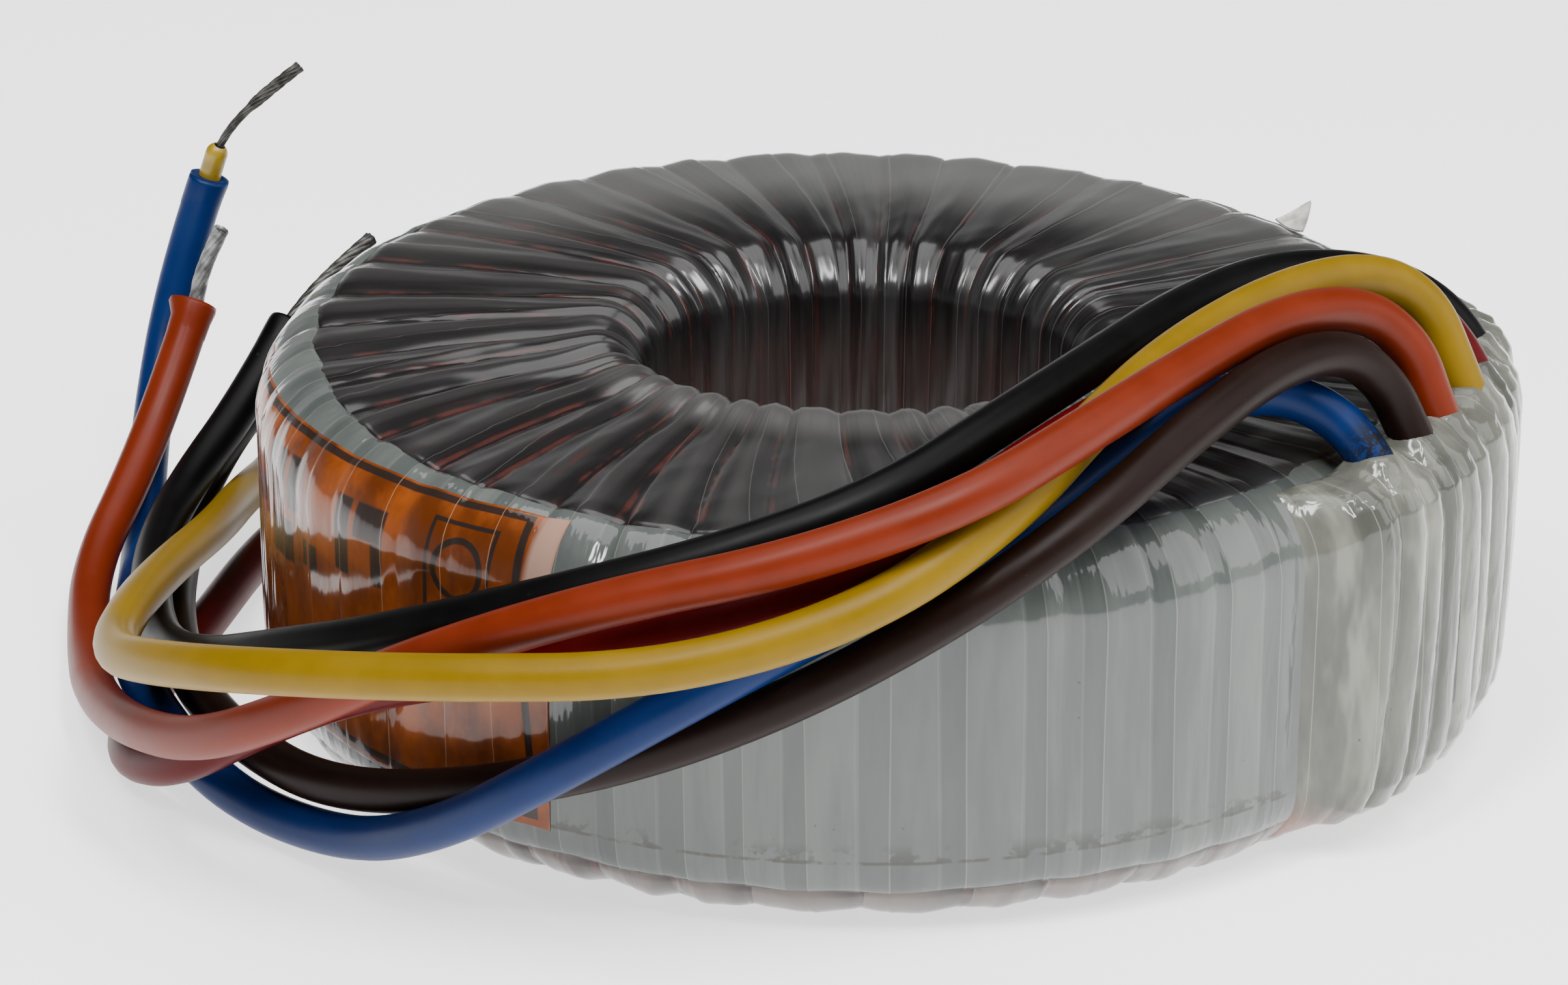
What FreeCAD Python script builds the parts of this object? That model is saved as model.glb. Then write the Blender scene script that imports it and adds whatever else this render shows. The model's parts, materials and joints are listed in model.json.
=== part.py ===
"""Film-wrapped toroidal mains transformer with six flying leads.

Millimetres. +Z is the axis of the ring, the origin is on that axis at the resting face, and the
lead-out bulge is on the +X side. The windings are nested rings, each cut by the one inside it.
"""
import math
import os

import FreeCAD, Part
from FreeCAD import Vector

# driving dimensions of the wrapped ring
OUTER_R = 40.0
HOLE_R = 14.0
HEIGHT = 25.3
OUTER_CORNER = 5.4
INNER_CORNER = 4.0

# build-up of the layers: name, thickness on the outer side, in the hole and on each end face,
# and the corner radii of the surface inside the layer, outer then inner
LAYERS = [
    ("outer_film_wrap", 0.4, 0.4, 0.4, 5.0, 3.6),
    ("secondary_winding_b", 0.6, 1.0, 0.8, 4.4, 2.8),
    ("interlayer_film", 0.1, 0.1, 0.1, 4.3, 2.7),
    ("secondary_winding_a", 0.6, 1.0, 0.8, 3.7, 1.9),
    ("interwinding_film", 0.5, 0.5, 0.5, 3.2, 1.5),
    ("primary_winding", 1.2, 2.2, 1.7, 2.0, 1.0),
    ("core_film_wrap", 0.4, 0.4, 0.4, 1.0, 1.0),
]

# white band around the rim, under the outer film
BAND_THICK = 0.4
BAND_LOW_Z = 3.2
BAND_TOP_R = 36.5

# rating label on the band
LABEL_THICK = 0.15
LABEL_LOW_Z = 5.6
LABEL_HIGH_Z = 19.7
LABEL_FROM_DEG = 165.0
LABEL_TO_DEG = 242.0

# lead-out bulge: a stuffed pad under its own piece of film
BULGE_R = 43.7
BULGE_FROM_DEG = -42.0
BULGE_TO_DEG = 4.0
BULGE_FADE_DEG = 24.0
BULGE_FADE_R = 39.0
BULGE_INNER_R = 36.5
BULGE_LOW_Z = 1.2
BULGE_CORNER = 4.0
COVER_THICK = 0.35

# pointed tail at the loose end of the outer film
TAIL_DEG = 35.0
TAIL_R = 36.8
TAIL_LENGTH = 2.8
TAIL_WIDTH = 3.0
TAIL_RISE = 0.9
TAIL_THICK = 0.15

# flying leads and what joins them to the windings
LEAD_DIAMETER = 2.8
SLEEVE_LENGTH = 5.0
SLEEVE_BORE_R = 0.9
SOLDER_LENGTH = 3.0
WIRE_R = 0.35
WIRE_DROP = 3.5
WIRE_END_R = 39.1

# routes of the leads, from the solder joint inside the bulge to the end of the insulation
ROUTES = {
    "yellow": [
        (40, -12, 13), (40, -12, 17), (40, -11.5, 22), (38, -11, 26.5), (36, -10, 31),
        (32, -11.5, 33.5), (25.5, -16, 33.5), (19, -23.5, 32.5), (14, -32.5, 31.5), (9, -41, 29),
        (0.5, -47, 25), (-11, -49, 22), (-24, -46.5, 20.5), (-35.5, -41.5, 18.5),
        (-42.5, -34, 15.5), (-46.5, -26, 12.5), (-46.5, -16.5, 11.5), (-45.5, -5, 9.5),
        (-44, 6, 7.5), (-43.5, 17, 5.5), (-42.5, 26.5, 3.5),
    ],
    "orange": [
        (38, -17, 13), (38, -17, 17), (38, -16.5, 21.5), (36, -16, 26), (34.5, -15.5, 30),
        (31, -16.5, 33), (25.5, -21.5, 34), (19.5, -29, 33.5), (13.5, -37.5, 33), (6.5, -44, 31),
        (-3.5, -46.5, 28), (-14.5, -45.5, 25), (-25.5, -42.5, 20), (-34, -38, 14),
        (-40.5, -31.5, 9), (-46, -23, 6), (-50, -12.5, 3.5), (-52, -2, 2.5), (-53, 7, 4),
        (-51, 15, 7.5), (-49, 21, 12.5), (-47.5, 24, 17),
    ],
    "red": [
        (41, -7.5, 13), (41, -7.5, 17), (41, -7, 21.5), (39, -7, 26), (36, -7, 29.5),
        (31.5, -8, 30.5), (26, -12, 30.5), (20.5, -18.5, 29.5), (14, -27.5, 29.5), (8, -36.5, 29),
        (1.5, -43.5, 26.5), (-9, -44, 22.5), (-20.5, -39.5, 18), (-30, -34, 14), (-37, -29, 9),
        (-43, -25, 4), (-47.5, -18, 1.5), (-47, -7.5, 1.5), (-45, 1, 1.5), (-42.5, 15.5, 1.5),
        (-39, 25, 1.5), (-34.5, 30.5, 1.5),
    ],
    "black": [
        (41.5, -3, 13), (41.5, -3, 17), (41.5, -2.5, 21.5), (39.5, -2.5, 26), (36, -2, 29),
        (31, -3, 30.5), (25.5, -7, 31.5), (19.5, -14, 31.5), (14, -23.5, 31.5), (8, -32.5, 31),
        (1.5, -39, 29), (-7.5, -42, 26.5), (-18.5, -41, 23), (-28.5, -36.5, 18.5),
        (-36, -30, 14.5), (-41, -22.5, 10.5), (-45, -14, 7.5), (-47, -6, 7), (-48, 3, 7),
        (-47, 12, 8), (-43.5, 19.5, 11.5), (-41, 24, 15.5),
    ],
    "brown": [
        (36.5, -20.5, 13), (36.5, -20.5, 17), (36, -20.5, 21.5), (34, -19.5, 26),
        (32.5, -19.5, 29), (29.5, -21.5, 32), (25, -26, 32.5), (19.5, -33, 31), (13.5, -39.5, 28),
        (5.5, -43.5, 23.5), (-4, -43, 17.5), (-14, -40, 12), (-24.5, -35, 7.5), (-33, -28.5, 4.5),
        (-39, -21, 4), (-43.5, -12.5, 4), (-46, -3, 4.5), (-47, 7.5, 4), (-47, 17, 5.5),
        (-44, 25.5, 9), (-39, 32, 11.5), (-34, 35.5, 11),
    ],
    "blue": [
        (33, -25.5, 13), (33, -25.5, 17), (33.5, -25, 21.5), (31.5, -23.5, 25.5), (29, -22, 28),
        (25, -22, 29.5), (20.5, -25, 29.5), (15.5, -31, 28.5), (9.5, -37.5, 26), (0.5, -42, 23.5),
        (-9, -43.5, 18.5), (-18, -42.5, 12.5), (-25, -38, 6.5), (-31.5, -31, 2), (-40, -23.5, 1.5),
        (-46, -15.5, 4.5), (-48.5, -6.5, 4.5), (-49.5, 4, 3), (-50.5, 14.5, 3), (-51, 23.5, 8.5),
        (-49.5, 29.5, 17.5), (-47, 30, 24.5),
    ],
}

# stripped, tinned conductor beyond the insulation: diameter, then the points after the lead's end
TIPS = {
    "yellow": (1.1, [(-42, 30, 3), (-41, 33, 3)]),
    "orange": (1.15, [(-47, 24.5, 19.5), (-45.5, 24.5, 22.5)]),
    "red": (1.1, [(-32.5, 32.5, 1.5), (-30.5, 35, 2)]),
    "black": (1.1, [(-38.5, 27, 18), (-35.5, 30, 20)]),
    "brown": (1.1, [(-31.5, 37, 11), (-29, 39, 11.5)]),
    "blue": (0.8, [(-46, 29.5, 27.5), (-43.5, 29, 30.5), (-40, 28, 33.5)]),
}
INNER_SLEEVE_DIAMETER = 1.6
INNER_SLEEVE_LENGTH = 2.0

ARC_SHARE = 0.45
AXIS = Vector(0, 0, 1)
CENTRE = Vector(0, 0, 0)


def revolved(points):
    """Solid of revolution about the ring's axis; an ("arc", mid, end) entry is a corner."""
    edges = []
    here = points[0]
    for item in points[1:]:
        if item[0] == "arc":
            _, mid, end = item
            arc = Part.Arc(Vector(here[0], 0, here[1]), Vector(mid[0], 0, mid[1]), Vector(end[0], 0, end[1]))
            edges.append(arc.toShape())
            here = end
        else:
            edges.append(Part.LineSegment(Vector(here[0], 0, here[1]), Vector(item[0], 0, item[1])).toShape())
            here = item
    face = Part.Face(Part.Wire(edges))
    return face.revolve(CENTRE, AXIS, 360)


def rounded_ring(inner_r, outer_r, low, high, inner_corner, outer_corner):
    """Ring of rounded rectangular section."""
    bend = 1 - math.sqrt(0.5)
    a, b = inner_corner, outer_corner
    return revolved([
        (inner_r + a, low),
        (outer_r - b, low),
        ("arc", (outer_r - b * bend, low + b * bend), (outer_r, low + b)),
        (outer_r, high - b),
        ("arc", (outer_r - b * bend, high - b * bend), (outer_r - b, high)),
        (inner_r + a, high),
        ("arc", (inner_r + a * bend, high - a * bend), (inner_r, high - a)),
        (inner_r, low + a),
        ("arc", (inner_r + a * bend, low + a * bend), (inner_r + a, low)),
    ])


def plain_ring(inner_r, outer_r, low, high):
    """Ring of plain rectangular section."""
    return revolved([(inner_r, low), (outer_r, low), (outer_r, high), (inner_r, high), (inner_r, low)])


def inset_ring(depth):
    """The wrapped ring with its whole surface moved inwards by depth."""
    return rounded_ring(
        HOLE_R + depth, OUTER_R - depth, depth, HEIGHT - depth, INNER_CORNER - depth, OUTER_CORNER - depth)


def wrapped_body():
    """Whole ring inside the outer surface of the film."""
    return inset_ring(0)


def ring_layers():
    """The film and winding layers and the core, each cut by the ring inside it."""
    parts = {}
    body = wrapped_body()
    inner, outer, low, high = HOLE_R, OUTER_R, 0.0, HEIGHT
    for name, side, hole, end, outer_corner, inner_corner in LAYERS:
        inner += hole
        outer -= side
        low += end
        high -= end
        inside = rounded_ring(inner, outer, low, high, inner_corner, outer_corner)
        parts[name] = body.cut(inside)
        body = inside
    parts["core"] = body
    return parts


def rim_band():
    """White band let into the outer winding, over the rim and onto the top face."""
    film = LAYERS[0][1]
    skin = inset_ring(film).cut(inset_ring(film + BAND_THICK))
    return skin.common(plain_ring(BAND_TOP_R, OUTER_R, BAND_LOW_Z, HEIGHT))


def sector(radius, low, high, from_deg, to_deg):
    """Solid pie slice about the ring's axis."""
    start = Vector(math.cos(math.radians(from_deg)), math.sin(math.radians(from_deg)), 0)
    face = Part.Face(Part.Wire([
        Part.LineSegment(Vector(0, 0, low), Vector(0, 0, high)).toShape(),
        Part.LineSegment(Vector(0, 0, high), start * radius + Vector(0, 0, high)).toShape(),
        Part.LineSegment(start * radius + Vector(0, 0, high), start * radius + Vector(0, 0, low)).toShape(),
        Part.LineSegment(start * radius + Vector(0, 0, low), Vector(0, 0, low)).toShape(),
    ]))
    return face.revolve(CENTRE, AXIS, to_deg - from_deg)


def rating_label():
    """Curved label, flush with the band's face."""
    face_r = OUTER_R - LAYERS[0][1]
    shell = plain_ring(face_r - LABEL_THICK, face_r, LABEL_LOW_Z, LABEL_HIGH_Z)
    return shell.common(sector(OUTER_R, 0, HEIGHT, LABEL_FROM_DEG, LABEL_TO_DEG))


def on_circle(radius, degrees):
    angle = math.radians(degrees)
    return Vector(radius * math.cos(angle), radius * math.sin(angle), 0)


def bulge_body(inset):
    """Bulge outside the ring, with its surface moved inwards by inset."""
    radius = BULGE_R - inset
    fade_r = BULGE_FADE_R - inset
    middle = (BULGE_FROM_DEG + BULGE_TO_DEG) / 2
    start = on_circle(radius, BULGE_FROM_DEG)
    end = on_circle(radius, BULGE_TO_DEG)
    before = on_circle(fade_r, BULGE_FROM_DEG - BULGE_FADE_DEG)
    after = on_circle(fade_r, BULGE_TO_DEG + BULGE_FADE_DEG)
    outline = Part.Wire([
        Part.LineSegment(CENTRE, before).toShape(),
        Part.LineSegment(before, start).toShape(),
        Part.Arc(start, on_circle(radius, middle), end).toShape(),
        Part.LineSegment(end, after).toShape(),
        Part.LineSegment(after, CENTRE).toShape(),
    ])
    prism = Part.Face(outline).extrude(Vector(0, 0, HEIGHT))
    limits = rounded_ring(
        BULGE_INNER_R + inset, radius, BULGE_LOW_Z + inset, HEIGHT - inset, 0.3, BULGE_CORNER)
    return prism.common(limits).cut(wrapped_body())


def film_tail():
    """Thin pointed tail of film that stands a little off the rim."""
    out = on_circle(1, TAIL_DEG)
    side = AXIS.cross(out)
    root = out * TAIL_R + AXIS * HEIGHT
    left = root + side * (TAIL_WIDTH / 2)
    right = root - side * (TAIL_WIDTH / 2)
    point = root + out * TAIL_LENGTH + AXIS * TAIL_RISE
    outline = Part.makePolygon([left, right, point, left])
    return Part.Face(outline).extrude(AXIS * -TAIL_THICK).cut(wrapped_body())


def route_path(points):
    """Straight runs joined by tangent arcs, and the radii of those arcs."""
    spots = [Vector(*p) for p in points]
    edges = []
    radii = []
    here = spots[0]
    for before, corner, after in zip(spots, spots[1:], spots[2:]):
        back = before - corner
        ahead = after - corner
        reach = ARC_SHARE * min(back.Length, ahead.Length)
        half_turn = (math.pi - back.getAngle(ahead)) / 2
        radius = reach / math.tan(half_turn)
        back.normalize()
        ahead.normalize()
        middle_way = back + ahead
        middle_way.normalize()
        start = corner + back * reach
        end = corner + ahead * reach
        middle = corner + middle_way * (math.hypot(radius, reach) - radius)
        edges.append(Part.LineSegment(here, start).toShape())
        edges.append(Part.Arc(start, middle, end).toShape())
        radii.append(radius)
        here = end
    edges.append(Part.LineSegment(here, spots[-1]).toShape())
    return Part.Wire(edges), radii


def tube(points, radius):
    """Round tube along a route; returns the solid, the path's length and the arc radii."""
    path, radii = route_path(points)
    start = Vector(*points[0])
    way = Vector(*points[1]) - start
    ring = Part.Wire(Part.Circle(start, way, radius).toShape())
    shell = path.makePipeShell([ring], True, False)
    return shell, path.Length, radii


def flying_lead(name):
    """One lead as a plain tube, its length and its arc radii printed for the builder."""
    solid, length, radii = tube(ROUTES[name], LEAD_DIAMETER / 2)
    section = math.pi * LEAD_DIAMETER**2 / 4
    ratio = solid.Volume / (section * length)
    print(f"lead_{name}: length {length:.1f}, volume/section*length {ratio:.4f}")
    print("  radii", " ".join(f"{r:.0f}" for r in radii))
    return solid


def lead_tip(name):
    """Stripped conductor that carries on from the end of the insulation."""
    diameter, points = TIPS[name]
    end = ROUTES[name][-1]
    solid, _, _ = tube([end] + points, diameter / 2)
    return solid.cut(flying_leads[name])


def rod(start, way, length, radius):
    return Part.makeCylinder(radius, length, start, way)


def splice(name):
    """Sleeve, solder joint and winding wire below a lead's hidden end."""
    start = Vector(*ROUTES[name][0])
    down = start - Vector(*ROUTES[name][1])
    down.normalize()
    solder = rod(start, down, SOLDER_LENGTH, SLEEVE_BORE_R)
    sleeve = rod(start, down, SLEEVE_LENGTH, LEAD_DIAMETER / 2)
    sleeve = sleeve.cut(rod(start, down, SLEEVE_LENGTH, SLEEVE_BORE_R))
    wire_start = start + down * SOLDER_LENGTH
    corner = wire_start + down * WIRE_DROP
    azimuth = math.degrees(math.atan2(corner.y, corner.x))
    finish = on_circle(WIRE_END_R, azimuth) + AXIS * corner.z
    wire, _, _ = tube([wire_start, corner, finish], WIRE_R)
    return sleeve, solder, wire


def inner_sleeve():
    """Pale inner sleeve that shows at the blue lead's end, round its conductor."""
    end = Vector(*ROUTES["blue"][-1])
    way = Vector(*TIPS["blue"][1][0]) - end
    way.normalize()
    body = rod(end, way, INNER_SLEEVE_LENGTH, INNER_SLEEVE_DIAMETER / 2)
    dome = Part.makeSphere(INNER_SLEEVE_DIAMETER / 2, end + way * INNER_SLEEVE_LENGTH)
    return body.fuse(dome).removeSplitter().cut(flying_leads["blue"]).cut(parts["tip_blue"])


def single(shape):
    """The one solid of a shape; anything else is a mistake in the model."""
    assert len(shape.Solids) == 1, len(shape.Solids)
    return shape.Solids[0]


flying_leads = {name: flying_lead(name) for name in ROUTES}
parts = ring_layers()
parts["rim_band"] = rim_band()
parts["rating_label"] = rating_label()
parts["rim_band"] = parts["rim_band"].cut(parts["rating_label"])
parts["secondary_winding_b"] = parts["secondary_winding_b"].cut(rim_band())
parts["leadout_pad"] = bulge_body(COVER_THICK)
parts["leadout_cover_film"] = bulge_body(0).cut(bulge_body(COVER_THICK))
parts["film_tail"] = film_tail()

PIERCED = ["leadout_pad", "leadout_cover_film", "outer_film_wrap", "rim_band", "secondary_winding_b"]
for name, lead in flying_leads.items():
    sleeve, solder, wire = splice(name)
    for host in PIERCED[:2]:
        for item in (lead, sleeve, solder):
            parts[host] = parts[host].cut(item)
    for host in PIERCED:
        parts[host] = parts[host].cut(wire)
    parts[f"splice_sleeve_{name}"] = sleeve
    parts[f"solder_joint_{name}"] = solder
    parts[f"winding_tail_{name}"] = wire
    parts[f"lead_{name}"] = lead
    parts[f"tip_{name}"] = lead_tip(name)
parts["inner_sleeve_blue"] = inner_sleeve()

os.makedirs("parts", exist_ok=True)
for name, shape in parts.items():
    solid = single(shape)
    assert solid.isValid(), name
    solid.exportStep(f"parts/{name}.step")
print(len(parts), "nodes")
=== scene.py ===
"""Looks of the film-wrapped toroidal transformer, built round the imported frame."""
import json
import math

import bpy
import numpy as np
from mathutils import Matrix, Vector


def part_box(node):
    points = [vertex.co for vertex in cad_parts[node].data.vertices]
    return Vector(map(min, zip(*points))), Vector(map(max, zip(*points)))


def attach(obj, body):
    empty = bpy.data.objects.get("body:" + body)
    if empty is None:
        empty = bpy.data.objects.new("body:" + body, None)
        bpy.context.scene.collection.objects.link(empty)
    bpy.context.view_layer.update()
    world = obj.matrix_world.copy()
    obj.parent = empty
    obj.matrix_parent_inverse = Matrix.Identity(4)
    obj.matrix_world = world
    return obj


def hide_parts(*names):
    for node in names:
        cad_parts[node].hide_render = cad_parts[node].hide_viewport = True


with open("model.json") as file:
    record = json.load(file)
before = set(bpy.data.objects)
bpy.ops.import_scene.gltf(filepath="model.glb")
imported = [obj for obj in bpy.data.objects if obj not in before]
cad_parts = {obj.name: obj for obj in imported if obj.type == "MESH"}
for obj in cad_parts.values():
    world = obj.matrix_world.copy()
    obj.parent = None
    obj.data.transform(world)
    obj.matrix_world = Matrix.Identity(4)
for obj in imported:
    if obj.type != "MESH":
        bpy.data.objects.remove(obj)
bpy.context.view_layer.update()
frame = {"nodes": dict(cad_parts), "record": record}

MM = 0.001
BODY = "root"

# ---------------------------------------------------------------- sizes from the frame, in mm
RING_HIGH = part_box("outer_film_wrap")[1]
OUTER_R = RING_HIGH.x / MM
HEIGHT = RING_HIGH.z / MM
HOLE = next(m for m in frame["record"]["mounts"] if m["name"] == "centre_hole")
HOLE_R = HOLE["dims"]["r_mm"]
INNER_CORNER = (HEIGHT - HOLE["dims"]["length_mm"]) / 2
OUTER_CORNER = 5.4
LEAD_DIAMETER = 2.8


def link_object(name, data):
    made = bpy.data.objects.new(name, data)
    bpy.context.scene.collection.objects.link(made)
    return made


# ---------------------------------------------------------------- camera
CAMERA_DISTANCE = 0.320993
CAMERA_ELEVATION = math.radians(22.665)
CAMERA_ROLL = math.radians(0.716)
CAMERA_LENS = 110.0
SENSOR_WIDTH = 36
CAMERA_SHIFT = (-0.0484, 0.0035)


def make_camera():
    data = bpy.data.cameras.new("camera")
    data.lens = CAMERA_LENS
    data.sensor_width = SENSOR_WIDTH
    data.shift_x, data.shift_y = CAMERA_SHIFT
    data.clip_start = 0.01
    camera = link_object("camera", data)
    back = Vector((0, -math.cos(CAMERA_ELEVATION), math.sin(CAMERA_ELEVATION)))
    up = Vector((0, math.sin(CAMERA_ELEVATION), math.cos(CAMERA_ELEVATION)))
    side = Vector((1, 0, 0))
    across = math.cos(CAMERA_ROLL) * side + math.sin(CAMERA_ROLL) * up
    upward = math.cos(CAMERA_ROLL) * up - math.sin(CAMERA_ROLL) * side
    turn = Matrix((across, upward, back)).transposed()
    aim = Vector((0, 0, HEIGHT * MM / 2))
    camera.matrix_world = Matrix.Translation(back * CAMERA_DISTANCE + aim) @ turn.to_4x4()
    bpy.context.scene.camera = camera


make_camera()

# ---------------------------------------------------------------- routes of the leads, in metres
ROUTES = {
    "yellow": [
        (0.04, -0.012, 0.013), (0.04, -0.012, 0.017), (0.04, -0.0115, 0.022), (0.038, -0.011, 0.0265),
        (0.036, -0.01, 0.031), (0.032, -0.0115, 0.0335), (0.0255, -0.016, 0.0335),
        (0.019, -0.0235, 0.0325), (0.014, -0.0325, 0.0315), (0.009, -0.041, 0.029),
        (0.0005, -0.047, 0.025), (-0.011, -0.049, 0.022), (-0.024, -0.0465, 0.0205),
        (-0.0355, -0.0415, 0.0185), (-0.0425, -0.034, 0.0155), (-0.0465, -0.026, 0.0125),
        (-0.0465, -0.0165, 0.0115), (-0.0455, -0.005, 0.0095), (-0.044, 0.006, 0.0075),
        (-0.0435, 0.017, 0.0055), (-0.0425, 0.0265, 0.0035),
    ],
    "orange": [
        (0.038, -0.017, 0.013), (0.038, -0.017, 0.017), (0.038, -0.0165, 0.0215),
        (0.036, -0.016, 0.026), (0.0345, -0.0155, 0.03), (0.031, -0.0165, 0.033),
        (0.0255, -0.0215, 0.034), (0.0195, -0.029, 0.0335), (0.0135, -0.0375, 0.033),
        (0.0065, -0.044, 0.031), (-0.0035, -0.0465, 0.028), (-0.0145, -0.0455, 0.025),
        (-0.0255, -0.0425, 0.02), (-0.034, -0.038, 0.014), (-0.0405, -0.0315, 0.009),
        (-0.046, -0.023, 0.006), (-0.05, -0.0125, 0.0035), (-0.052, -0.002, 0.0025),
        (-0.053, 0.007, 0.004), (-0.051, 0.015, 0.0075), (-0.049, 0.021, 0.0125),
        (-0.0475, 0.024, 0.017),
    ],
    "red": [
        (0.041, -0.0075, 0.013), (0.041, -0.0075, 0.017), (0.041, -0.007, 0.0215),
        (0.039, -0.007, 0.026), (0.036, -0.007, 0.0295), (0.0315, -0.008, 0.0305),
        (0.026, -0.012, 0.0305), (0.0205, -0.0185, 0.0295), (0.014, -0.0275, 0.0295),
        (0.008, -0.0365, 0.029), (0.0015, -0.0435, 0.0265), (-0.009, -0.044, 0.0225),
        (-0.0205, -0.0395, 0.018), (-0.03, -0.034, 0.014), (-0.037, -0.029, 0.009),
        (-0.043, -0.025, 0.004), (-0.0475, -0.018, 0.0015), (-0.047, -0.0075, 0.0015),
        (-0.045, 0.001, 0.0015), (-0.0425, 0.0155, 0.0015), (-0.039, 0.025, 0.0015),
        (-0.0345, 0.0305, 0.0015),
    ],
    "black": [
        (0.0415, -0.003, 0.013), (0.0415, -0.003, 0.017), (0.0415, -0.0025, 0.0215),
        (0.0395, -0.0025, 0.026), (0.036, -0.002, 0.029), (0.031, -0.003, 0.0305),
        (0.0255, -0.007, 0.0315), (0.0195, -0.014, 0.0315), (0.014, -0.0235, 0.0315),
        (0.008, -0.0325, 0.031), (0.0015, -0.039, 0.029), (-0.0075, -0.042, 0.0265),
        (-0.0185, -0.041, 0.023), (-0.0285, -0.0365, 0.0185), (-0.036, -0.03, 0.0145),
        (-0.041, -0.0225, 0.0105), (-0.045, -0.014, 0.0075), (-0.047, -0.006, 0.007),
        (-0.048, 0.003, 0.007), (-0.047, 0.012, 0.008), (-0.0435, 0.0195, 0.0115),
        (-0.041, 0.024, 0.0155),
    ],
    "brown": [
        (0.0365, -0.0205, 0.013), (0.0365, -0.0205, 0.017), (0.036, -0.0205, 0.0215),
        (0.034, -0.0195, 0.026), (0.0325, -0.0195, 0.029), (0.0295, -0.0215, 0.032),
        (0.025, -0.026, 0.0325), (0.0195, -0.033, 0.031), (0.0135, -0.0395, 0.028),
        (0.0055, -0.0435, 0.0235), (-0.004, -0.043, 0.0175), (-0.014, -0.04, 0.012),
        (-0.0245, -0.035, 0.0075), (-0.033, -0.0285, 0.0045), (-0.039, -0.021, 0.004),
        (-0.0435, -0.0125, 0.004), (-0.046, -0.003, 0.0045), (-0.047, 0.0075, 0.004),
        (-0.047, 0.017, 0.0055), (-0.044, 0.0255, 0.009), (-0.039, 0.032, 0.0115),
        (-0.034, 0.0355, 0.011),
    ],
    "blue": [
        (0.033, -0.0255, 0.013), (0.033, -0.0255, 0.017), (0.0335, -0.025, 0.0215),
        (0.0315, -0.0235, 0.0255), (0.029, -0.022, 0.028), (0.025, -0.022, 0.0295),
        (0.0205, -0.025, 0.0295), (0.0155, -0.031, 0.0285), (0.0095, -0.0375, 0.026),
        (0.0005, -0.042, 0.0235), (-0.009, -0.0435, 0.0185), (-0.018, -0.0425, 0.0125),
        (-0.025, -0.038, 0.0065), (-0.0315, -0.031, 0.002), (-0.04, -0.0235, 0.0015),
        (-0.046, -0.0155, 0.0045), (-0.0485, -0.0065, 0.0045), (-0.0495, 0.004, 0.003),
        (-0.0505, 0.0145, 0.003), (-0.051, 0.0235, 0.0085), (-0.0495, 0.0295, 0.0175),
        (-0.047, 0.03, 0.0245),
    ],
}
TIPS = {
    "yellow": (1.1, [(-42, 30, 3), (-41, 33, 3)]),
    "orange": (1.15, [(-47, 24.5, 19.5), (-45.5, 24.5, 22.5)]),
    "red": (1.1, [(-32.5, 32.5, 1.5), (-30.5, 35, 2)]),
    "black": (1.1, [(-38.5, 27, 18), (-35.5, 30, 20)]),
    "brown": (1.1, [(-31.5, 37, 11), (-29, 39, 11.5)]),
    "blue": (0.62, [(-46, 29.5, 27.5), (-43.5, 29, 30.5), (-40, 28, 33.5)]),
}


def make_lead(colour):
    """One smooth spline led by the route's points, as thick as the real insulation."""
    data = bpy.data.curves.new(f"flying_lead_{colour}", "CURVE")
    data.dimensions = "3D"
    spline = data.splines.new("NURBS")
    points = ROUTES[colour]
    spline.points.add(len(points) - 1)
    for point, place in zip(spline.points, points):
        point.co = (*place, 1)
    spline.order_u = 3
    spline.use_endpoint_u = True
    data.resolution_u = 10
    data.bevel_depth = LEAD_DIAMETER * MM / 2
    data.bevel_resolution = 7
    data.use_fill_caps = True
    return link_object(f"flying_lead_{colour}", data)


leads = {colour: make_lead(colour) for colour in ROUTES}


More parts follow.
